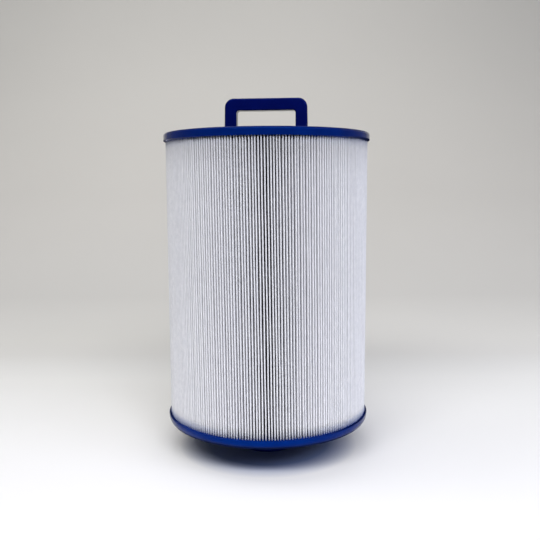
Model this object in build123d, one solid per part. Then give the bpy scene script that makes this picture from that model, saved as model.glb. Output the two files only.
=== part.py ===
"""Threaded spa filter cartridge: a pleated media pack round a slotted core, cast between two round
polyurethane end caps, with a carrying handle on top and a male threaded outlet below.

Millimetres. The origin is the centre of the outlet's mouth, where the cartridge rests when it stands
on its own. +Z runs up the cartridge's axis, and X runs along the handle's grip.
"""

from build123d import *
import math
import os

# ---- Driving dimensions -------------------------------------------------------------------------
cap_diameter = 152.4  # 6 in over the end caps
body_length = 215.9  # 8 1/2 in from the bottom cap's face to the top cap's rim
outlet_length = 22.0  # of the threaded outlet, below the bottom cap
bottom_cap_height = 6.8
top_cap_height = 5.7
pleat_count = 232

# ---- Levels along the axis ----------------------------------------------------------------------
bottom_cap_base = outlet_length
bottom_cap_top = bottom_cap_base + bottom_cap_height
top_cap_top = bottom_cap_base + body_length
top_cap_base = top_cap_top - top_cap_height

# ---- Pleated media ------------------------------------------------------------------------------
media_length = top_cap_base - bottom_cap_top
media_outer_radius = cap_diameter / 2 - 1.5
media_inner_radius = 31.0
fold_width = 0.86  # two layers of spunbonded cloth lying together
packed_radius = 38.0  # inside this the folds lie against each other
sector_count = 8  # equal runs of folds that the pack is divided into

# ---- Seam of the media --------------------------------------------------------------------------
seam_depth = 15.0  # how far the hot-melt bead reaches in from the fold tips
seam_clearance = 0.04  # between the bead and the folds on each side

# ---- Core sections ------------------------------------------------------------------------------
core_inner_radius = 27.5
core_outer_radius = 30.5
core_base = bottom_cap_base + 5.0
core_plug_thickness = 1.5
core_top = top_cap_base - core_plug_thickness
core_joint = (core_base + core_top) / 2
core_joint_lap = 4.0  # how far the upper section's tongue enters the lower section
core_joint_radius = 29.0  # the face that the two sections share inside the joint
core_joint_clearance = 0.1
core_end_band = 8.5  # plain wall left at each end of a section
window_rows = 6
window_columns = 12
window_share = 0.77  # of each row's and column's pitch
window_corner_radius = 1.0
window_cut_margin = 2.0  # how far a window's cutter runs past the wall on each side

# ---- Core plug ----------------------------------------------------------------------------------
spigot_clearance = 0.2  # between a spigot and the core's bore
spigot_wall = 2.2
spigot_length = 6.5

# ---- Outlet: threaded nipple and flange plate ---------------------------------------------------
outlet_bore_radius = 19.0
thread_root_radius = 22.0
thread_crest_radius = 23.8
thread_pitch = 4.6
thread_turns = 3
thread_start = 5.8  # centre of the first turn above the outlet's mouth
thread_base_width = 3.0
thread_crest_width = 1.2
thread_sink = 0.4  # how far the thread's section reaches into the tube
pilot_radius = 21.6  # the plain lead below the thread
pilot_length = 4.0
mouth_chamfer = 0.5
flange_radius = 36.0
flange_thickness = 2.5
flange_base = core_base - flange_thickness
flange_hole_count = 8
flange_hole_radius = 1.7
flange_hole_circle = 33.3

# ---- End cap faces ------------------------------------------------------------------------------
bottom_cap_edge = 4.8  # fillet on the edge that the mould's floor formed
top_cap_edge = 1.9  # the same edge of the top cap, from a mould with a sharper corner
cap_inner_edge = 0.5  # fillet on the edge beside the media
ring_outer_radius = 67.0  # of the shallow ring sunk into each cap's face
ring_inner_radius = 38.0
ring_depth = 0.9
ring_edge = 0.4
pin_mark_count = 6  # cones left by the pins that hold the pack off the mould's floor
pin_mark_circle = 60.0
pin_mark_radius = 1.6
pin_mark_depth = 1.3
seat_inner_radius = 26.0  # of the flat ring that seals on the housing's seat
seat_recess_depth = 1.0  # of the recess between that ring and the nipple
handle_pad_radius = 35.0
handle_pad_height = 1.2
handle_pad_edge = 0.8

# ---- Handle -------------------------------------------------------------------------------------
handle_width = 60.8
handle_flare = 0.5  # extra on each side at the foot, from the mould's draft
handle_rise = 25.9  # above the top cap's rim
handle_depth = 10.0
leg_width = 8.6
grip_height = 8.8
handle_outer_corner = 6.7
handle_inner_corner = 1.8
handle_edge = 1.1
foot_length = 74.0
foot_width = 26.0
foot_thickness = 2.0
foot_base = top_cap_base + 1.5
foot_hole_radius = 2.5
foot_hole_spacing = 14.0
foot_hole_count = 3

level_tolerance = 0.01  # for picking the edges at one level


def disc(radius, low, high):
    """A solid disc about the axis between two levels."""
    return Pos(0, 0, low) * Cylinder(radius, high - low, align=(Align.CENTER, Align.CENTER, Align.MIN))


def ring(outer_radius, inner_radius, low, high):
    """A plain tube about the axis between two levels."""
    return disc(outer_radius, low, high) - disc(inner_radius, low, high)


def circles_at(shape, level):
    """The round edges of a shape that lie at one level."""
    return shape.edges().filter_by(GeomType.CIRCLE).filter_by_position(
        Axis.Z, level - level_tolerance, level + level_tolerance
    )


def polar(radius, angle):
    """A point on the ground plane, from its distance to the axis and its angle in radians."""
    return Vector(radius * math.cos(angle), radius * math.sin(angle), 0)


# ---- Media --------------------------------------------------------------------------------------
def fold_corner(radius, middle, side):
    """Where a fold's flat side meets a circle about the axis. side is -1 or +1."""
    return polar(radius, middle + side * math.asin(fold_width / 2 / radius))


def media_sector():
    """One run of folds, round at their tips, from the mid-gap before its first to that after its last."""
    pitch = 2 * math.pi / pleat_count
    folds = pleat_count // sector_count
    tip_centre = media_outer_radius - fold_width / 2
    first_side, last_side = -pitch / 2, (folds - 0.5) * pitch
    edges = []
    start = polar(packed_radius, first_side)
    for fold in range(folds):
        middle = fold * pitch
        foot_in = fold_corner(packed_radius, middle, -1)
        tip_in = fold_corner(tip_centre, middle, -1)
        tip_out = fold_corner(tip_centre, middle, 1)
        foot_out = fold_corner(packed_radius, middle, 1)
        edges.append(Edge.make_line(start, foot_in))
        edges.append(Edge.make_line(foot_in, tip_in))
        edges.append(Edge.make_three_point_arc(tip_in, polar(media_outer_radius, middle), tip_out))
        edges.append(Edge.make_line(tip_out, foot_out))
        start = foot_out
    inner_first = polar(media_inner_radius, first_side)
    inner_middle = polar(media_inner_radius, (first_side + last_side) / 2)
    inner_last = polar(media_inner_radius, last_side)
    outer_last = polar(packed_radius, last_side)
    edges.append(Edge.make_line(start, outer_last))
    edges.append(Edge.make_line(outer_last, inner_last))
    edges.append(Edge.make_three_point_arc(inner_last, inner_middle, inner_first))
    edges.append(Edge.make_line(inner_first, polar(packed_radius, first_side)))
    return Pos(0, 0, bottom_cap_top) * extrude(Face(Wire(edges)), media_length, dir=(0, 0, 1))


def pleated_media():
    """The whole pleat pack, as equal runs of folds side by side round the core."""
    sector = media_sector()
    step = 360 / sector_count
    return Compound([Rot(0, 0, number * step) * sector for number in range(sector_count)])


def media_seam():
    """The hot-melt bead between the two end folds of the sheet, in the gap at the back."""
    pitch = 2 * math.pi / pleat_count
    middle = (round(pleat_count / 4) + 0.5) * pitch
    inner = media_outer_radius - seam_depth
    outer = media_outer_radius - fold_width / 2

    def half_angle(radius):
        return pitch / 2 - math.asin((fold_width / 2 + seam_clearance) / radius)

    corners = [
        polar(inner, middle - half_angle(inner)),
        polar(outer, middle - half_angle(outer)),
        polar(outer, middle + half_angle(outer)),
        polar(inner, middle + half_angle(inner)),
    ]
    section = Face(Wire.make_polygon(corners))
    return Pos(0, 0, bottom_cap_top) * extrude(section, media_length, dir=(0, 0, 1))


# ---- Core ---------------------------------------------------------------------------------------
def core_windows(low, high):
    """The cutters for one section's windows, between two levels."""
    row_pitch = (high - low) / window_rows
    column_pitch = 360 / window_columns
    height = row_pitch * window_share
    width = 2 * math.pi * core_outer_radius / window_columns * window_share
    start = core_inner_radius - window_cut_margin
    depth = core_outer_radius - start + window_cut_margin
    cutter = extrude(Plane.YZ * RectangleRounded(width, height, window_corner_radius), depth)
    cutters = []
    for row in range(window_rows):
        level = low + (row + 0.5) * row_pitch
        for column in range(window_columns):
            cutters.append(Rot(0, 0, column * column_pitch) * Pos(start, 0, level) * cutter)
    return cutters


def core_section_lower():
    """The lower half of the core. It stands on the flange plate and has a socket at its top."""
    wall = ring(core_outer_radius, core_inner_radius, core_base, core_joint)
    socket = disc(core_joint_radius, core_joint - core_joint_lap, core_joint)
    windows = core_windows(core_base + core_end_band, core_joint - core_end_band)
    return wall - socket - windows


def core_section_upper():
    """The upper half of the core, with a tongue that enters the lower half's socket."""
    wall = ring(core_outer_radius, core_inner_radius, core_joint, core_top)
    tongue_radius = core_joint_radius - core_joint_clearance
    tongue = ring(tongue_radius, core_inner_radius, core_joint - core_joint_lap, core_joint)
    windows = core_windows(core_joint + core_end_band, core_top - core_end_band)
    return wall + tongue - windows


def core_plug():
    """The disc that closes the core under the top cap, with a skirt inside the core."""
    skirt_radius = core_inner_radius - spigot_clearance
    plate = disc(core_outer_radius, core_top, top_cap_base)
    skirt = ring(skirt_radius, skirt_radius - spigot_wall, core_top - spigot_length, core_top)
    return plate + skirt


# ---- Outlet -------------------------------------------------------------------------------------
def outlet_thread():
    """The helical ridge, trimmed to the crest radius."""
    path = Helix(thread_pitch, thread_pitch * thread_turns, thread_root_radius - thread_sink)
    reach = 2 * (thread_crest_radius - thread_root_radius) + thread_sink
    slope = (thread_base_width - thread_crest_width) / 2 / (thread_crest_radius - thread_root_radius)
    base = thread_base_width / 2
    tip = base - slope * (reach - thread_sink)
    corners = [(0, -base), (thread_sink, -base), (reach, -tip), (reach, tip), (thread_sink, base), (0, base)]
    section_plane = Plane(origin=path @ 0, x_dir=(1, 0, 0), z_dir=path % 0)
    section = section_plane * Polygon(*corners, align=None)
    ridge = Pos(0, 0, thread_start) * sweep(section, path=path, is_frenet=True)
    return ridge & disc(thread_crest_radius, 0, bottom_cap_base)


def threaded_nipple():
    """The outlet tube: a plain lead, the thread, and a plain end that is welded into the flange plate."""
    pilot = disc(pilot_radius, 0, pilot_length)
    pilot = chamfer(circles_at(pilot, 0), mouth_chamfer)
    body = pilot + disc(thread_root_radius, pilot_length, core_base) + outlet_thread()
    body -= disc(outlet_bore_radius, 0, core_base)
    return chamfer(circles_at(body, 0).sort_by(SortBy.RADIUS)[0], mouth_chamfer)


def flange_plate():
    """The plate cast into the bottom cap, with locking holes, and the spigot that centres the core."""
    flange = ring(flange_radius, thread_root_radius, flange_base, core_base)
    hole = disc(flange_hole_radius, flange_base, core_base)
    holes = PolarLocations(flange_hole_circle, flange_hole_count) * hole
    spigot_radius = core_inner_radius - spigot_clearance
    spigot = ring(spigot_radius, spigot_radius - spigot_wall, core_base, core_base + spigot_length)
    return flange - holes + spigot


# ---- End caps -----------------------------------------------------------------------------------
def pin_marks(level, direction):
    """Six shallow cones in a cap's face. direction is +1 for a face that looks up, -1 for one down."""
    cone = Cone(0, pin_mark_radius, pin_mark_depth, align=(Align.CENTER, Align.CENTER, Align.MAX))
    tilt = 0 if direction > 0 else 180
    return PolarLocations(pin_mark_circle, pin_mark_count) * (Pos(0, 0, level) * Rot(tilt, 0, 0) * cone)


def cap_body(face_level, media_level, outer_edge):
    """A cap's disc with its edges rounded, the sunk ring in its face and the pin marks in the ring."""
    body = disc(cap_diameter / 2, min(face_level, media_level), max(face_level, media_level))
    body = fillet(circles_at(body, face_level), outer_edge)
    body = fillet(circles_at(body, media_level), cap_inner_edge)
    direction = math.copysign(1, face_level - media_level)
    floor = face_level - direction * ring_depth
    body -= ring(ring_outer_radius, ring_inner_radius, min(floor, face_level), max(floor, face_level))
    ring_rims = circles_at(body, face_level).sort_by(SortBy.RADIUS)[:2]
    body = fillet(ring_rims, ring_edge)
    return body - pin_marks(floor, direction)


def bottom_end_cap(plate):
    """The lower polyurethane casting, set round the flange plate and the foot of the core."""
    body = cap_body(bottom_cap_base, bottom_cap_top, bottom_cap_edge)
    body -= disc(core_outer_radius, core_base, bottom_cap_top)
    body -= disc(thread_root_radius, bottom_cap_base, core_base)
    body -= disc(seat_inner_radius, bottom_cap_base, bottom_cap_base + seat_recess_depth)
    return body - plate


def top_end_cap(grip):
    """The upper polyurethane casting, set round the handle's foot, with a raised pad in its centre."""
    body = cap_body(top_cap_top, top_cap_base, top_cap_edge)
    pad_top = top_cap_top + handle_pad_height
    pad = disc(handle_pad_radius, top_cap_top, pad_top)
    pad = fillet(circles_at(pad, pad_top), handle_pad_edge)
    return body + pad - grip


# ---- Handle -------------------------------------------------------------------------------------
def handle():
    """The carrying loop and the foot plate that anchors it in the top cap."""
    top = top_cap_top + handle_rise
    foot = foot_base + foot_thickness / 2
    half_top = handle_width / 2
    half_foot = half_top + handle_flare
    inner_half = half_top - leg_width
    outer = Polygon((-half_foot, foot), (half_foot, foot), (half_top, top), (-half_top, top), align=None)
    outer = fillet(outer.vertices().group_by(Axis.Y)[-1], handle_outer_corner)
    inner = Polygon(
        (-inner_half, foot), (inner_half, foot), (inner_half, top - grip_height),
        (-inner_half, top - grip_height), align=None
    )
    inner = fillet(inner.vertices().group_by(Axis.Y)[-1], handle_inner_corner)
    loop = extrude(Plane.XZ * (outer - inner), handle_depth / 2, both=True)
    rim_edges = loop.faces().filter_by(Axis.Y).edges()
    loop = fillet([edge for edge in rim_edges if edge.center().Z > foot + level_tolerance], handle_edge)
    plate = Pos(0, 0, foot_base) * extrude(SlotOverall(foot_length, foot_width), foot_thickness)
    hole = disc(foot_hole_radius, foot_base, foot_base + foot_thickness)
    holes = GridLocations(foot_hole_spacing, 0, foot_hole_count, 1) * hole
    return loop + (plate - holes)


def main():
    """Builds every sub-part and writes one STEP file for each."""
    plate = flange_plate()
    grip = handle()
    parts = {
        "pleated_media": pleated_media(),
        "media_seam": media_seam(),
        "core_section_lower": core_section_lower(),
        "core_section_upper": core_section_upper(),
        "core_plug": core_plug(),
        "threaded_nipple": threaded_nipple(),
        "flange_plate": plate,
        "bottom_end_cap": bottom_end_cap(plate),
        "top_end_cap": top_end_cap(grip),
        "handle": grip,
    }
    os.makedirs("parts", exist_ok=True)
    for name, shape in parts.items():
        shape.label = name
        export_step(shape, f"parts/{name}.step")


main()
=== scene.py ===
"""The looks of the spa filter cartridge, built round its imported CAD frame.

Everything is in metres, in the frame's own axes: +Z runs up the cartridge and X along the handle's
grip. Sizes and places come from the frame's own boxes and the values at the top of each section.
"""

import math

import bpy
import numpy as np
from mathutils import Matrix, Vector


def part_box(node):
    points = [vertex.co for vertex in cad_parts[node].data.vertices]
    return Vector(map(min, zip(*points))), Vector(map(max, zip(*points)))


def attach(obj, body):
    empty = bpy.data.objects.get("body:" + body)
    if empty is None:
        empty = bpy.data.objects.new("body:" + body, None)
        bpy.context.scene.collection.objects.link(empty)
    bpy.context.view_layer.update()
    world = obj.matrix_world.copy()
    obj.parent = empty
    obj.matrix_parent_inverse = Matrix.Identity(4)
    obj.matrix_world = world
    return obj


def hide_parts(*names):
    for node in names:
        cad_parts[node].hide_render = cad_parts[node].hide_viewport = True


MM = 0.001
SEED = 20
CAMERA_AZIMUTH = math.radians(5.0)  # the handle's right end is nearer

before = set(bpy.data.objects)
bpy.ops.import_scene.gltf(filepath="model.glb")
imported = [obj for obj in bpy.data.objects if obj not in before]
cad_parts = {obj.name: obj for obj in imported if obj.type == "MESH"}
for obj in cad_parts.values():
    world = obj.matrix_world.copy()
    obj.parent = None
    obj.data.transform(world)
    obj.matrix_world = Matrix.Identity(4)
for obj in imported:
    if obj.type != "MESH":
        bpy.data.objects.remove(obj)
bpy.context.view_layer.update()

media_low, media_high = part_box("pleated_media")
bottom_cap_low, bottom_cap_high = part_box("bottom_end_cap")
top_cap_low, top_cap_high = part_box("top_end_cap")

BODY = "root"
MEDIA_BASE = media_low.z
MEDIA_TOP = media_high.z
MEDIA_LENGTH = MEDIA_TOP - MEDIA_BASE
TIP_RADIUS = media_high.x
CAP_RADIUS = bottom_cap_high.x
BODY_BASE = bottom_cap_low.z
BODY_TOP = top_cap_high.z
LEDGE = bottom_cap_high.z
TOP_LEDGE = top_cap_low.z

# ---- The folded sheet ---------------------------------------------------------------------------
FOLDS = 232
FOLD_PITCH = 2 * math.pi / FOLDS
CLOTH = 0.36 * MM  # thickness of the sheet
VALLEY_RADIUS = 31.0 * MM  # where the inner folds lie against the core
FOOT_RADIUS = 31.8 * MM  # where a fold's flat sides begin
FOOT_HALF = 0.41 * MM  # half a fold's width there
TIP_HALF = 0.48 * MM  # half its width just below the round tip
TIP_HEIGHT = 0.55 * MM
TIP_STEPS = 5  # points over the round tip
TWIST = math.radians(1.6)  # from the top of the pack to its base
LEVELS = 25
SHIFT = 0.10 * MM  # how far a fold's tip strays to the side, on average
SHIFT_LIMIT = 2.0  # and at most, in multiples of that
WANDER = 0.05 * MM  # how far it wanders along its length
WANDER_WAVES = (40, (8, 90), (0.5, 3.5))  # number of waves, their turns round and their turns along
DROP = 0.12 * MM  # how much shorter than the tallest a fold is, on average
DROP_LIMIT = 2.5
DROP_UNEVEN = 0.04 * MM  # and how much that varies along its length
DROP_WAVES = (20, (4, 60), (0.5, 3))
DROP_POWER = 6  # a short fold differs from the others only near its tip
SEAM_FOLD = round(FOLDS / 4)  # the bead lies between this fold and the next


def waves(rng, kind, folds, levels):
    """A smooth field over fold number and level, which closes on itself round the cartridge."""
    count, turns_round, turns_along = kind
    around = np.arange(folds)[:, None] * FOLD_PITCH
    along = np.linspace(0, 1, levels)[None, :]
    field = np.zeros((folds, levels))
    for _ in range(count):
        m = int(rng.integers(*turns_round))
        n = rng.uniform(*turns_along)
        field += np.sin(m * around + 2 * math.pi * n * along + rng.uniform(0, 2 * math.pi))
    return field / math.sqrt(count / 2)


def fold_fields():
    """Each fold's angle, its tip's shift to the side and how much shorter it is, by fold and level."""
    rng = np.random.default_rng(SEED)
    height = np.linspace(0, 1, LEVELS)[None, :]
    angle = np.arange(FOLDS)[:, None] * FOLD_PITCH + TWIST * (0.5 - height)
    stray = rng.standard_normal((FOLDS, 1)).clip(-SHIFT_LIMIT, SHIFT_LIMIT)
    shift = SHIFT * stray + WANDER * waves(rng, WANDER_WAVES, FOLDS, LEVELS)
    drop = DROP * np.abs(rng.standard_normal((FOLDS, 1))).clip(0, DROP_LIMIT)
    drop = drop + DROP_UNEVEN * (1 + waves(rng, DROP_WAVES, FOLDS, LEVELS).clip(-1, 1))
    return angle, shift, drop


def fold_section(valley, inset):
    """One fold's skin from its valley over its tip, as (radius, distance to the side).

    inset is how far the skin lies inside the sheet's outer one.
    """
    turn = np.linspace(-math.pi / 2, math.pi / 2, TIP_STEPS)
    neck = TIP_RADIUS - TIP_HEIGHT
    height = TIP_HEIGHT - inset
    half = TIP_HALF - inset
    section = [(valley, 0.0), (FOOT_RADIUS, inset - FOOT_HALF)]
    section += [(neck + height * math.cos(a), half * math.sin(a)) for a in turn]
    section += [(FOOT_RADIUS, FOOT_HALF - inset)]
    return np.array(section)


def skin(section, angle, shift, drop):
    """The points of one skin, by level, fold and place in the section.

    lean is 0 at the core and 1 at the tip, and says how much of a fold's sideways shift a point takes.
    """
    radius, side = section[:, 0], section[:, 1]
    lean = ((radius - VALLEY_RADIUS) / (TIP_RADIUS - VALLEY_RADIUS)).clip(0, 1)
    r = radius[None, None] - drop.T[:, :, None] * lean[None, None] ** DROP_POWER
    a = angle.T[:, :, None] + (shift.T[:, :, None] * lean[None, None] + side[None, None]) / r
    a[:, :, 0] -= FOLD_PITCH / 2
    z = np.linspace(MEDIA_BASE, MEDIA_TOP, a.shape[0])[:, None, None] + 0 * a
    return np.stack([r * np.cos(a), r * np.sin(a), z], axis=-1).reshape(a.shape[0], -1, 3)


def mesh_object(name, points, faces, material):
    """A smooth-shaded mesh that rides on the cartridge."""
    mesh = bpy.data.meshes.new(name)
    mesh.from_pydata([tuple(p) for p in points], [], faces)
    mesh.validate()
    mesh.shade_smooth()
    piece = bpy.data.objects.new(name, mesh)
    bpy.context.scene.collection.objects.link(piece)
    piece.data.materials.append(material)
    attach(piece, BODY)
    return piece


def ring_faces(rows, columns, first, flip):
    """Quads over rows of points that each close on themselves, numbered row by row from first."""
    faces = []
    for row in range(rows - 1):
        for column in range(columns):
            a = first + row * columns + column
            b = first + row * columns + (column + 1) % columns
            quad = (a, b, b + columns, a + columns)
            faces.append(quad[::-1] if flip else quad)
    return faces


def folded_sheet(material):
    """The pleated cloth: one sheet with a real thickness, folded 232 times and closed into a ring."""
    fields = fold_fields()
    outer = skin(fold_section(VALLEY_RADIUS + CLOTH, 0.0), *fields)
    inner = skin(fold_section(VALLEY_RADIUS, CLOTH), *fields)
    around = outer.shape[1]
    inner_start = LEVELS * around
    faces = ring_faces(LEVELS, around, 0, False)
    faces += ring_faces(LEVELS, around, inner_start, True)
    for level, flip in ((0, True), (LEVELS - 1, False)):
        for j in range(around):
            a = level * around + j
            b = level * around + (j + 1) % around
            rim = (a, b, inner_start + b, inner_start + a)
            faces.append(rim[::-1] if flip else rim)
    points = np.concatenate([outer.reshape(-1, 3), inner.reshape(-1, 3)])
    piece = mesh_object("folded_cloth", points, faces, material)
    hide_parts("pleated_media")


# ---- Hot-melt bead on the sheet's seam ----------------------------------------------------------
BEAD_DEPTH = 13 * MM
BEAD_SINK = 0.9 * MM  # from the fold tips to its face
BEAD_LEVELS = 90
BEAD_LUMP = 0.35 * MM
BEAD_LUMP_LIMIT = 1.2
BEAD_SMOOTHING = 9  # levels that each lump is spread over
BEAD_BACK = 0.6  # the bead's width at its back, as a share of the gap between the two folds
BEAD_FACE = (  # depth under its face in millimetres, and half-width as a share of half the gap
    (0.5, -1.0), (0.15, -0.8), (0.0, 0.0), (0.15, 0.8), (0.5, 1.0),
)


def seam_bead(material):
    """The glue line that fills one gap, with the lumpy face that a hand-run bead has."""
    rng = np.random.default_rng(SEED + 1)
    angle, shift, _ = fold_fields()
    levels = np.linspace(0, 1, BEAD_LEVELS)
    known = np.linspace(0, 1, LEVELS)
    tips = angle + shift / TIP_RADIUS
    left = np.interp(levels, known, tips[SEAM_FOLD])
    right = np.interp(levels, known, tips[SEAM_FOLD + 1])
    window = np.hanning(BEAD_SMOOTHING)
    rough = rng.standard_normal(BEAD_LEVELS + BEAD_SMOOTHING - 1)
    lump = np.convolve(rough, window / window.sum(), "valid").clip(-BEAD_LUMP_LIMIT, BEAD_LUMP_LIMIT)
    back = TIP_RADIUS - BEAD_DEPTH
    points = []
    for i, level in enumerate(levels):
        middle = (left[i] + right[i]) / 2
        half = (right[i] - left[i]) / 2 * TIP_RADIUS - TIP_HALF
        face = TIP_RADIUS - BEAD_SINK + BEAD_LUMP * lump[i]
        section = [(back, -BEAD_BACK)]
        section += [(face - depth * MM, side) for depth, side in BEAD_FACE]
        section += [(back, BEAD_BACK)]
        for radius, side in section:
            a = middle + side * half / radius
            z = MEDIA_BASE + level * MEDIA_LENGTH
            points.append((radius * math.cos(a), radius * math.sin(a), z))
    around = len(section)
    last = (BEAD_LEVELS - 1) * around
    faces = ring_faces(BEAD_LEVELS, around, 0, False)
    faces.append(tuple(range(around))[::-1])
    faces.append(tuple(range(last, last + around)))
    piece = mesh_object("seam_bead", points, faces, material)
    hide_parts("media_seam")


# ---- Polyurethane drawn up between the folds ----------------------------------------------------
WICK_STEPS = 10  # points round the cartridge for each fold
WICK_RADII = (75.75, 75.2, 74.85, 74.55, 74.2, 73.8, 73.2, 71.0)  # mm
WICK_FILM = (-0.06, 0.10, 0.30, 0.50, 0.60, 0.65, 0.65, 0.60)  # mm, the height over a fold's tip
WICK_RISE = (0.0, 0.0, 0.08, 0.30, 0.62, 0.88, 1.0, 0.95)  # share of the climb between two folds
WICK_CLIMB = (0.9, 2.3)  # mm, the least and most climb
WICK_GAP = 0.8  # a power under 1, which widens the climb's crest between two folds
WICK_UNEVEN = 0.2  # how much the climb varies round the cartridge
WICK_UNEVEN_LIMIT = 1.5
WICK_WAVES = (12, (3, 30), (0, 1))
WICK_FRONT = 0.10  # share of both in front and behind, where the resin stayed thinnest


def wicking(name, level, cap_level, upward, material):
    """The cast cap's edge where it wets the cloth: low on each fold's tip and drawn up in each gap."""
    rng = np.random.default_rng(SEED + 2 + level)
    angle, shift, _ = fold_fields()
    tips = (angle + shift / TIP_RADIUS)[:, level]
    tips = np.append(tips, tips[0] + 2 * math.pi)
    around = FOLDS * WICK_STEPS
    share = np.tile(np.arange(WICK_STEPS) / WICK_STEPS, FOLDS)
    fold = np.repeat(np.arange(FOLDS), WICK_STEPS)
    a = tips[fold] * (1 - share) + tips[fold + 1] * share
    gap = (0.5 - 0.5 * np.cos(2 * math.pi * share)) ** WICK_GAP
    climb = rng.uniform(*WICK_CLIMB, FOLDS)[fold] * MM
    uneven = waves(rng, WICK_WAVES, FOLDS, 2)[:, 0].clip(-WICK_UNEVEN_LIMIT, WICK_UNEVEN_LIMIT)[fold]
    amount = (1 + WICK_UNEVEN * uneven) * (WICK_FRONT + (1 - WICK_FRONT) * np.cos(a) ** 2)
    points = []
    for radius, film, rise in zip(WICK_RADII, WICK_FILM, WICK_RISE):
        height = film * MM * amount + rise * climb * amount * gap
        z = cap_level + (height if upward else -height)
        points.append(np.stack([radius * MM * np.cos(a), radius * MM * np.sin(a), z], axis=-1))
    faces = ring_faces(len(WICK_RADII), around, 0, not upward)
    mesh_object(name, np.concatenate(points), faces, material)


# ---- Node materials -----------------------------------------------------------------------------
WHITE = (1, 1, 1)
BLACK = (0, 0, 0)


def feed(tree, value, socket):
    """Gives a socket a value: another socket is linked to it, and anything else is set on it."""
    if isinstance(value, bpy.types.NodeSocket):
        tree.links.new(value, socket)
    else:
        socket.default_value = value


class Surface:
    """A node material in the making. Most methods add nodes and return the socket to use next."""

    def __init__(self, name):
        self.material = bpy.data.materials.new(name)
        self.material.use_nodes = True
        self.tree = self.material.node_tree

    def add(self, kind, settings, **inputs):
        """A node with its settings and its inputs, which are sockets or plain values."""
        node = self.tree.nodes.new(kind)
        for key, value in settings.items():
            setattr(node, key, value)
        for key, value in inputs.items():
            feed(self.tree, value, node.inputs[key])
        return node

    def finish(self, **inputs):
        """The material, with the shader's inputs linked or set. An underscore stands for a space."""
        shader = self.tree.nodes["Principled BSDF"]
        for key, value in inputs.items():
            feed(self.tree, value, shader.inputs[key.replace("_", " ")])
        return self.material

    def place(self):
        """A point's distance from the cartridge's axis, and its X, Y and Z."""
        point = self.add("ShaderNodeTexCoord", {}).outputs["Object"]
        split = self.add("ShaderNodeSeparateXYZ", {}, Vector=point)
        flat = self.add("ShaderNodeVectorMath", {"operation": "MULTIPLY"})
        feed(self.tree, point, flat.inputs[0])
        feed(self.tree, (1, 1, 0), flat.inputs[1])
        radius = self.add("ShaderNodeVectorMath", {"operation": "LENGTH"}, Vector=flat.outputs[0])
        return radius.outputs["Value"], split.outputs["X"], split.outputs["Y"], split.outputs["Z"]

    def noise(self, scale, detail=4.0, roughness=0.55, stretch=(1, 1, 1)):
        """Noise over the piece's own coordinates. scale is in features per metre."""
        point = self.add("ShaderNodeTexCoord", {}).outputs["Object"]
        mapped = self.add("ShaderNodeMapping", {}, Vector=point, Scale=stretch).outputs["Vector"]
        texture = self.add("ShaderNodeTexNoise", {}, Vector=mapped, Scale=scale, Detail=detail,
                           Roughness=roughness)
        return texture.outputs["Fac"]

    def ramp(self, value, stops):
        """A colour ramp over a value. stops is a list of (place, colour)."""
        node = self.add("ShaderNodeValToRGB", {}, Fac=value)
        elements = node.color_ramp.elements
        while len(elements) < len(stops):
            elements.new(0.5)
        for element, (place, colour) in zip(elements, stops):
            element.position = place
            element.color = (*colour, 1.0)
        return node.outputs["Color"]

    def spread(self, value, low, high, start=0.0, end=1.0):
        """A value that goes from low to high while the one given goes from start to end."""
        limits = {"From Min": start, "From Max": end, "To Min": low, "To Max": high}
        return self.add("ShaderNodeMapRange", {}, Value=value, **limits).outputs["Result"]

    def calculate(self, operation, *values):
        """The result of a math operation on values or sockets."""
        node = self.add("ShaderNodeMath", {"operation": operation})
        for value, socket in zip(values, node.inputs):
            feed(self.tree, value, socket)
        return node.outputs[0]

    def product(self, first, *others):
        """The product of two or more values."""
        for other in others:
            first = self.calculate("MULTIPLY", first, other)
        return first

    def band(self, value, low, high, blur):
        """1 between low and high, and 0 outside them."""
        above = self.spread(value, 0.0, 1.0, low - blur, low)
        below = self.spread(value, 1.0, 0.0, high, high + blur)
        return self.product(above, below)

    def mix(self, blend, share, first, second):
        """Two colours, the second blended over the first."""
        node = self.add("ShaderNodeMix", {"data_type": "RGBA", "blend_type": blend}, Factor=share)
        colours = [socket for socket in node.inputs if socket.type == "RGBA"]
        feed(self.tree, first, colours[0])
        feed(self.tree, second, colours[1])
        return [socket for socket in node.outputs if socket.type == "RGBA"][0]

    def tinted(self, colour, *tints):
        """A colour multiplied by others."""
        for tint in tints:
            colour = self.mix("MULTIPLY", 1.0, colour, tint)
        return colour

    def bump(self, height, distance, strength):
        """The normal over a height."""
        node = self.add("ShaderNodeBump", {}, Height=height, Distance=distance, Strength=strength)
        return node.outputs["Normal"]

    def bump_over(self, normal, height, distance, strength):
        """The normal over a height that is laid on another normal."""
        node = self.add("ShaderNodeBump", {}, Height=height, Distance=distance, Strength=strength,
                        Normal=normal)
        return node.outputs["Normal"]


def paint(node, material):
    """Gives a CAD node its material."""
    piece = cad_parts[node]
    piece.data.materials.clear()
    piece.data.materials.append(material)


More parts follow.
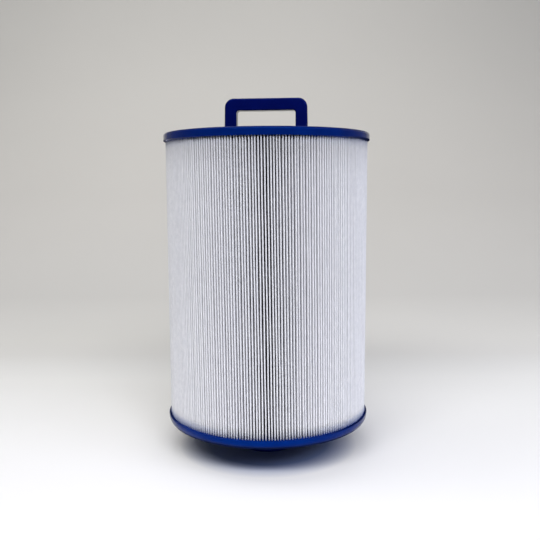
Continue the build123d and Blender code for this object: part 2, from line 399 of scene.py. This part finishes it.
# ---- Cast polyurethane --------------------------------------------------------------------------
RESIN_BLUES = [(0.3, (0.0003, 0.0118, 0.114)), (0.7, (0.0005, 0.0180, 0.154))]
TOP_CAP_SHADE = (0.80, 0.58, 0.66)  # painted shade: the top cap is made a little darker than the bottom one, though both are the same resin
RESIN_TINT = (0.02, 0.22, 1.0, 1.0)
RESIN_IOR = 1.28
PAINTED_SHADE = [(0.0, WHITE), (1.0, (0.20, 0.24, 0.28))]  # painted shade: the resin's colour where it is darkened and also made dull
GRIP_SPAN = (-80 * MM, 80 * MM)  # along the grip, what every ramp from side to side runs over
GROOVE_OUT = CAP_RADIUS - 0.45 * MM  # a strip of painted shade, dark and dull, on the ledge between rim and cloth
GROOVE_BLUR = 0.15 * MM
GROOVE_TOP = LEDGE + 0.30 * MM
GROOVE_ENDS = [(0.06, WHITE), (0.14, BLACK), (0.76, BLACK), (0.88, WHITE)]  # the painted shade shows at both ends
LIP = 0.5 * MM  # the same painted shade and dull look on the lowest part of the top cap's wall
LIP_ENDS = [(0.03, WHITE), (0.08, BLACK), (0.85, BLACK), (0.96, WHITE)]
FOOT_EDGE = 3.6 * MM  # painted shade, dark and dull, on the bottom cap's rounded lower edge, which faces down
FOOT_MIDDLE = [(0.03, BLACK), (0.12, WHITE), (0.88, WHITE), (0.97, BLACK)]


def cast_polyurethane():
    """Glossy pigmented polyurethane, poured into an open mould: faint mottling and a rippled skin. Painted
    shade darkens the top cap, the ledge by the cloth, the top cap's lip and the bottom cap's lower edge.
    """
    surface = Surface("cast_polyurethane")
    radius, along, _, height = surface.place()
    across = surface.spread(along, 0.0, 1.0, *GRIP_SPAN)
    # Painted shade: dark, dull resin on the ledge by the cloth, on the top cap's lip and on the bottom cap's
    # lower edge.
    inside = surface.spread(radius, 1.0, 0.0, GROOVE_OUT, GROOVE_OUT + GROOVE_BLUR)
    ledge = surface.band(height, LEDGE - GROOVE_BLUR, GROOVE_TOP, GROOVE_BLUR)
    ledge_shade = surface.product(inside, ledge, surface.ramp(across, GROOVE_ENDS))
    low = surface.spread(height, 1.0, 0.0, BODY_BASE + FOOT_EDGE / 2, BODY_BASE + FOOT_EDGE)
    foot_shade = surface.product(low, surface.ramp(across, FOOT_MIDDLE))
    edge = surface.band(height, TOP_LEDGE - LIP, TOP_LEDGE + LIP, LIP)
    lip_shade = surface.product(edge, surface.ramp(across, LIP_ENDS))
    shade_and_dull = surface.calculate("MAXIMUM", surface.calculate("MAXIMUM", ledge_shade, foot_shade), lip_shade)
    satin = surface.spread(surface.noise(900), 0.05, 0.12)
    mottled = surface.ramp(surface.noise(60, detail=5), RESIN_BLUES)
    # Painted shade: the resin darkens upwards, so the top cap looks darker than the bottom one.
    upward = surface.spread(height, 0.0, 1.0, MEDIA_BASE, MEDIA_TOP)
    top_shade = surface.ramp(upward, [(0.0, WHITE), (1.0, TOP_CAP_SHADE)])
    ripple = surface.bump(surface.noise(130, detail=2), distance=0.4 * MM, strength=0.08)
    grain = surface.noise(2600)
    return surface.finish(
        Base_Color=surface.tinted(mottled, top_shade, surface.ramp(shade_and_dull, PAINTED_SHADE)),
        Roughness=surface.calculate("MAXIMUM", satin, shade_and_dull),
        Normal=surface.bump_over(ripple, grain, distance=0.03 * MM, strength=0.08),
        Specular_Tint=RESIN_TINT,
        IOR=RESIN_IOR,
    )


# ---- Moulded plastics and glue ------------------------------------------------------------------
NAVY = [(0.3, (0.0004, 0.0018, 0.050)), (0.7, (0.0006, 0.0026, 0.064))]  # the handle's colour
OUTLET_BLUE = [(0.3, (0.003, 0.014, 0.16)), (0.7, (0.004, 0.018, 0.20))]
ABS_TINT = (0.05, 0.12, 0.60, 1.0)
CORE_WHITES = [(0.3, (0.74, 0.74, 0.71)), (0.7, (0.83, 0.83, 0.80))]
GLUE_CREAMS = [(0.3, (0.66, 0.60, 0.44)), (0.7, (0.80, 0.76, 0.62))]


def moulded_abs(name, colours):
    """Blue ABS with the fine grain of a satin mould."""
    surface = Surface(name)
    return surface.finish(
        Base_Color=surface.ramp(surface.noise(90, detail=3), colours),
        Roughness=surface.spread(surface.noise(1400), 0.14, 0.24),
        Normal=surface.bump(surface.noise(3200), distance=0.03 * MM, strength=0.2),
        Specular_Tint=ABS_TINT,
    )


def core_plastic():
    """Natural polypropylene: milky, slightly waxy, with flow lines along the core."""
    surface = Surface("core_polypropylene")
    flow = surface.noise(300, stretch=(1, 1, 0.12))
    return surface.finish(
        Base_Color=surface.ramp(flow, CORE_WHITES),
        Roughness=surface.spread(flow, 0.35, 0.5),
        Normal=surface.bump(surface.noise(1500), distance=0.04 * MM, strength=0.4),
        Subsurface_Weight=0.2,
        Subsurface_Scale=2 * MM,
    )


def seam_adhesive():
    """Hot-melt glue: cream, translucent and shiny, with stretched lumps."""
    surface = Surface("hot_melt")
    lumps = surface.noise(500, detail=3, stretch=(1, 1, 0.4))
    return surface.finish(
        Base_Color=surface.ramp(lumps, GLUE_CREAMS),
        Roughness=surface.spread(lumps, 0.18, 0.35),
        Normal=surface.bump(lumps, distance=0.2 * MM, strength=0.5),
        Subsurface_Weight=0.3,
        Subsurface_Scale=1 * MM,
    )


# ---- Spunbonded cloth ---------------------------------------------------------------------------
CLOTH_WHITES = [(0.08, (0.64, 0.645, 0.675)), (0.42, (0.78, 0.78, 0.80))]
SOAKED = (0.24, 0.34, 0.66, 1.0)  # the cloth's colour where blue resin soaked into it
SOAK_MOST = 0.75  # the largest share of that colour it can take on
SOAK_INSIDE = 3.5 * MM  # how far inside the cloth's end the blue starts
SOAK_PAST = 2.5 * MM  # and how far past that end it would be full
SOAK_UNEVEN = 5 * MM  # how much further in the blue reaches where it reaches furthest
SOAK_ENDS = [(0.1, WHITE), (0.4, (0.3, 0.3, 0.3)), (0.6, (0.3, 0.3, 0.3)), (0.9, WHITE)]
SOAK_ABOVE = 0.35  # the share of it that is left under the top cap
SHADE_DEPTH = 12 * MM  # over which the cloth goes grey into the gaps
SHADE_INWARD = [
    (0.0, WHITE), (0.06, (0.96, 0.96, 0.96)), (0.35, (0.44, 0.44, 0.46)), (1.0, (0.16, 0.16, 0.18)),
]
CAP_SHADE_GREYS = [  # painted shade: how light the cloth is by the distance under the top cap, in millimetres, for the cap's shadow and a darkening towards the top
    (0, 0.56), (5, 0.62), (9, 0.68), (13, 0.72), (17, 0.76), (24, 0.80), (46, 0.84), (100, 0.88), (192, 1.0),
]


def spunbonded_cloth():
    """White spunbonded polyester: random filaments, thick and thin places, blue where resin soaked in.
    Painted shade greys it into the gaps between the folds and under the top cap.
    """
    surface = Surface("spunbonded_polyester")
    radius, along, _, height = surface.place()
    filaments = surface.noise(2200, detail=6, roughness=0.7, stretch=(1, 1, 0.25))
    cloud = surface.noise(260)
    white = surface.ramp(surface.product(filaments, cloud), CLOTH_WHITES)
    from_middle = surface.calculate("SUBTRACT", height, (MEDIA_BASE + MEDIA_TOP) / 2)
    away = surface.calculate("ABSOLUTE", from_middle)
    uneven = surface.calculate("MULTIPLY_ADD", surface.noise(700, detail=3), SOAK_UNEVEN, away)
    half = MEDIA_LENGTH / 2
    soaked = surface.spread(uneven, 0.0, SOAK_MOST, half - SOAK_INSIDE, half + SOAK_PAST)
    at_sides = surface.ramp(surface.spread(along, 0.0, 1.0, *GRIP_SPAN), SOAK_ENDS)
    less_above = surface.spread(height, 1.0, SOAK_ABOVE, MEDIA_BASE, MEDIA_TOP)
    colour = surface.mix("MIX", surface.product(soaked, at_sides, less_above), white, SOAKED)
    # Painted shade: the cloth greys into the gaps between the folds, and under the top cap it is darker
    # towards the top.
    inward = surface.spread(radius, 1.0, 0.0, TIP_RADIUS - SHADE_DEPTH, TIP_RADIUS)
    reach = CAP_SHADE_GREYS[-1][0]
    under = surface.spread(height, 1.0, 0.0, TOP_LEDGE - reach * MM, TOP_LEDGE)
    under_cap_shade = surface.ramp(under, [(depth / reach, (light, light, light)) for depth, light in CAP_SHADE_GREYS])
    fuzz = surface.bump(filaments, distance=0.06 * MM, strength=0.6)
    return surface.finish(
        Base_Color=surface.tinted(colour, surface.ramp(inward, SHADE_INWARD), under_cap_shade),
        Roughness=surface.spread(cloud, 0.80, 0.95),
        Normal=surface.bump_over(fuzz, cloud, distance=0.2 * MM, strength=0.25),
        Specular_IOR_Level=0.25,
        Sheen_Weight=0.15,
        Sheen_Roughness=0.6,
    )


# ---- Stage --------------------------------------------------------------------------------------
FLOOR_REACH = 2.6  # to each side and to the front
COVE_START = 0.16  # from the axis to where the paper starts to rise
COVE_REACH = 0.95  # half its width from there on
COVE_RADIUS = 1.6
COVE_TURN = math.radians(62)  # how far it rises
COVE_STEPS = 24
PAPER_FRONT = -0.06  # where its white begins to turn to grey
PAPER_BACK = 1.50
PAPER_GRADES = [  # its colour by the distance behind the axis
    (-0.06, (0.93, 0.92, 0.90)), (0.12, (0.93, 0.92, 0.89)), (0.18, (0.92, 0.91, 0.875)),
    (0.23, (0.86, 0.85, 0.815)), (0.27, (0.80, 0.785, 0.745)), (0.33, (0.77, 0.755, 0.71)),
    (0.50, (0.63, 0.615, 0.58)), (0.90, (0.54, 0.525, 0.495)), (1.50, (0.49, 0.48, 0.455)),
]
PAPER_UNEVEN = [(0.3, (0.98, 0.98, 0.98)), (0.7, WHITE)]
UNDER_CAP = (0.24, 0.31, 0.52)  # painted shadow: the dark blue cast that the bottom cap throws on the paper under it
UNDER_CAP_REACH = (46 * MM, 69 * MM)


def stage_paper():
    """Matt graduated paper: white under the cartridge and pale grey behind it, with a painted shadow under
    the bottom cap.
    """
    surface = Surface("stage_paper")
    radius, _, behind, _ = surface.place()
    back = surface.spread(behind, 0.0, 1.0, PAPER_FRONT, PAPER_BACK)
    depth = PAPER_BACK - PAPER_FRONT
    graded = surface.ramp(back, [((y - PAPER_FRONT) / depth, colour) for y, colour in PAPER_GRADES])
    uneven = surface.ramp(surface.noise(3, detail=2), PAPER_UNEVEN)
    # Painted shadow: the paper darkens and turns blue under the bottom cap.
    outward = surface.spread(radius, 0.0, 1.0, *UNDER_CAP_REACH)
    cap_shadow = surface.ramp(outward, [(0.0, UNDER_CAP), (1.0, WHITE)])
    return surface.finish(
        Base_Color=surface.tinted(graded, uneven, cap_shadow),
        Roughness=0.9,
        Specular_IOR_Level=0.2,
    )


def stage():
    """A wide floor of paper, and a narrower length of it that rises in a long cove behind."""
    points = [(-FLOOR_REACH, -FLOOR_REACH, 0.0), (FLOOR_REACH, -FLOOR_REACH, 0.0)]
    points += [(FLOOR_REACH, COVE_START, 0.0), (-FLOOR_REACH, COVE_START, 0.0)]
    for i in range(COVE_STEPS + 1):
        rise = COVE_TURN * i / COVE_STEPS
        y = COVE_START + COVE_RADIUS * math.sin(rise)
        z = COVE_RADIUS * (1 - math.cos(rise))
        points += [(-COVE_REACH, y, z), (COVE_REACH, y, z)]
    faces = [(0, 1, 2, 5, 4, 3)]
    faces += [(2 * i + 4, 2 * i + 5, 2 * i + 7, 2 * i + 6) for i in range(COVE_STEPS)]
    mesh = bpy.data.meshes.new("stage")
    mesh.from_pydata(points, [], faces)
    mesh.shade_smooth()
    paper = bpy.data.objects.new("stage", mesh)
    paper.rotation_euler.z = CAMERA_AZIMUTH
    paper.data.materials.append(stage_paper())
    bpy.context.scene.collection.objects.link(paper)


# ---- Light --------------------------------------------------------------------------------------
WARM = (1.0, 0.985, 0.95)
NEUTRAL = (0.98, 0.98, 1.0)
BLUISH = (0.76, 0.80, 1.0)
BODY_MIDDLE = (0.0, 0.0, (BODY_BASE + BODY_TOP) / 2)
SOFTBOXES = (  # name, place, the point it is aimed at, size, power and colour
    ("key", (-0.04, -1.05, 1.10), BODY_MIDDLE, (1.5, 0.34), 17.4, NEUTRAL),
    ("window", (0.92, -0.98, 0.90), BODY_MIDDLE, (1.75, 0.36), 11.9, BLUISH),
    ("overhead", (-0.45, 0.05, 1.4), (-0.45, 0.05, 0.0), (1.2, 0.5), 3.6, WARM),
    ("backdrop_wash", (-0.15, 0.35, 1.1), (-0.15, 1.7, 1.0), (1.4, 0.3), 9.2, WARM),
)
ROOM = (0.97, 0.98, 1.0, 1.0)
ROOM_STRENGTH = (0.22, 0.28)  # in front and behind
ROOM_FADE = (-0.6, 0.2)  # where the one turns into the other, by how far back a direction points


def softbox(name, place, target, size, power, colour):
    """A rectangular area light aimed at a point."""
    light = bpy.data.lights.new(name, "AREA")
    light.shape = "RECTANGLE"
    light.size, light.size_y = size
    light.energy = power
    light.color = colour
    lamp = bpy.data.objects.new(name, light)
    lamp.location = place
    lamp.rotation_euler = (Vector(target) - Vector(place)).to_track_quat("-Z", "Y").to_euler()
    bpy.context.scene.collection.objects.link(lamp)


def lighting():
    """A bank high in front, a bluer one to the right, a weak box overhead and one on the backdrop."""
    for box in SOFTBOXES:
        softbox(*box)
    world = bpy.data.worlds.new("studio")
    world.use_nodes = True
    nodes, links = world.node_tree.nodes, world.node_tree.links
    nodes["Background"].inputs["Color"].default_value = ROOM
    place = nodes.new("ShaderNodeTexCoord")
    split = nodes.new("ShaderNodeSeparateXYZ")
    fade = nodes.new("ShaderNodeMapRange")
    fade.inputs["From Min"].default_value, fade.inputs["From Max"].default_value = ROOM_FADE
    fade.inputs["To Min"].default_value, fade.inputs["To Max"].default_value = ROOM_STRENGTH
    links.new(place.outputs["Generated"], split.inputs["Vector"])
    links.new(split.outputs["Y"], fade.inputs["Value"])
    links.new(fade.outputs["Result"], nodes["Background"].inputs["Strength"])
    bpy.context.scene.world = world
    bpy.context.scene.view_settings.view_transform = "Standard"


# ---- Camera -------------------------------------------------------------------------------------
CAMERA_DISTANCE = 0.5259  # from the axis
CAMERA_HEIGHT = 0.1776  # above the bottom cap's face
CAMERA_PITCH = 0.1204  # below the horizon
CAMERA_YAW = 0.0040
CAMERA_ROLL = -0.0052
CAMERA_LENS = 46.28  # mm
CAMERA_SENSOR = 36.0  # mm
CAMERA_NEAREST = 0.01  # what is nearer than this isn't drawn


def camera():
    """A camera a little to the right of the handle's front, just below the top cap's rim."""
    data = bpy.data.cameras.new("camera")
    data.lens = CAMERA_LENS
    data.sensor_width = CAMERA_SENSOR
    data.clip_start = CAMERA_NEAREST
    eye = bpy.data.objects.new("camera", data)
    place = Vector((0.0, -CAMERA_DISTANCE, BODY_BASE + CAMERA_HEIGHT))
    ahead = Vector((
        math.sin(CAMERA_YAW) * math.cos(CAMERA_PITCH),
        math.cos(CAMERA_YAW) * math.cos(CAMERA_PITCH),
        -math.sin(CAMERA_PITCH),
    ))
    about = Matrix.Rotation(CAMERA_AZIMUTH, 3, "Z")
    facing = (about @ ahead).to_track_quat("-Z", "Y").to_matrix()
    rolled = facing @ Matrix.Rotation(CAMERA_ROLL, 3, "Z")
    eye.matrix_world = Matrix.Translation(about @ place) @ rolled.to_4x4()
    bpy.context.scene.collection.objects.link(eye)
    bpy.context.scene.camera = eye


def build():
    """Makes the cloth, glue and resin pieces, and gives every other CAD node its material."""
    resin = cast_polyurethane()
    outlet_blue = moulded_abs("moulded_outlet_blue", OUTLET_BLUE)
    plastic = core_plastic()
    folded_sheet(spunbonded_cloth())
    seam_bead(seam_adhesive())
    wicking("lower_wicking", 0, MEDIA_BASE, True, resin)
    wicking("upper_wicking", LEVELS - 1, MEDIA_TOP, False, resin)
    paint("handle", moulded_abs("moulded_navy", NAVY))
    for node in ("bottom_end_cap", "top_end_cap"):
        paint(node, resin)
    for node in ("threaded_nipple", "flange_plate"):
        paint(node, outlet_blue)
    for node in ("core_section_lower", "core_section_upper", "core_plug"):
        paint(node, plastic)


build()
stage()
lighting()
camera()
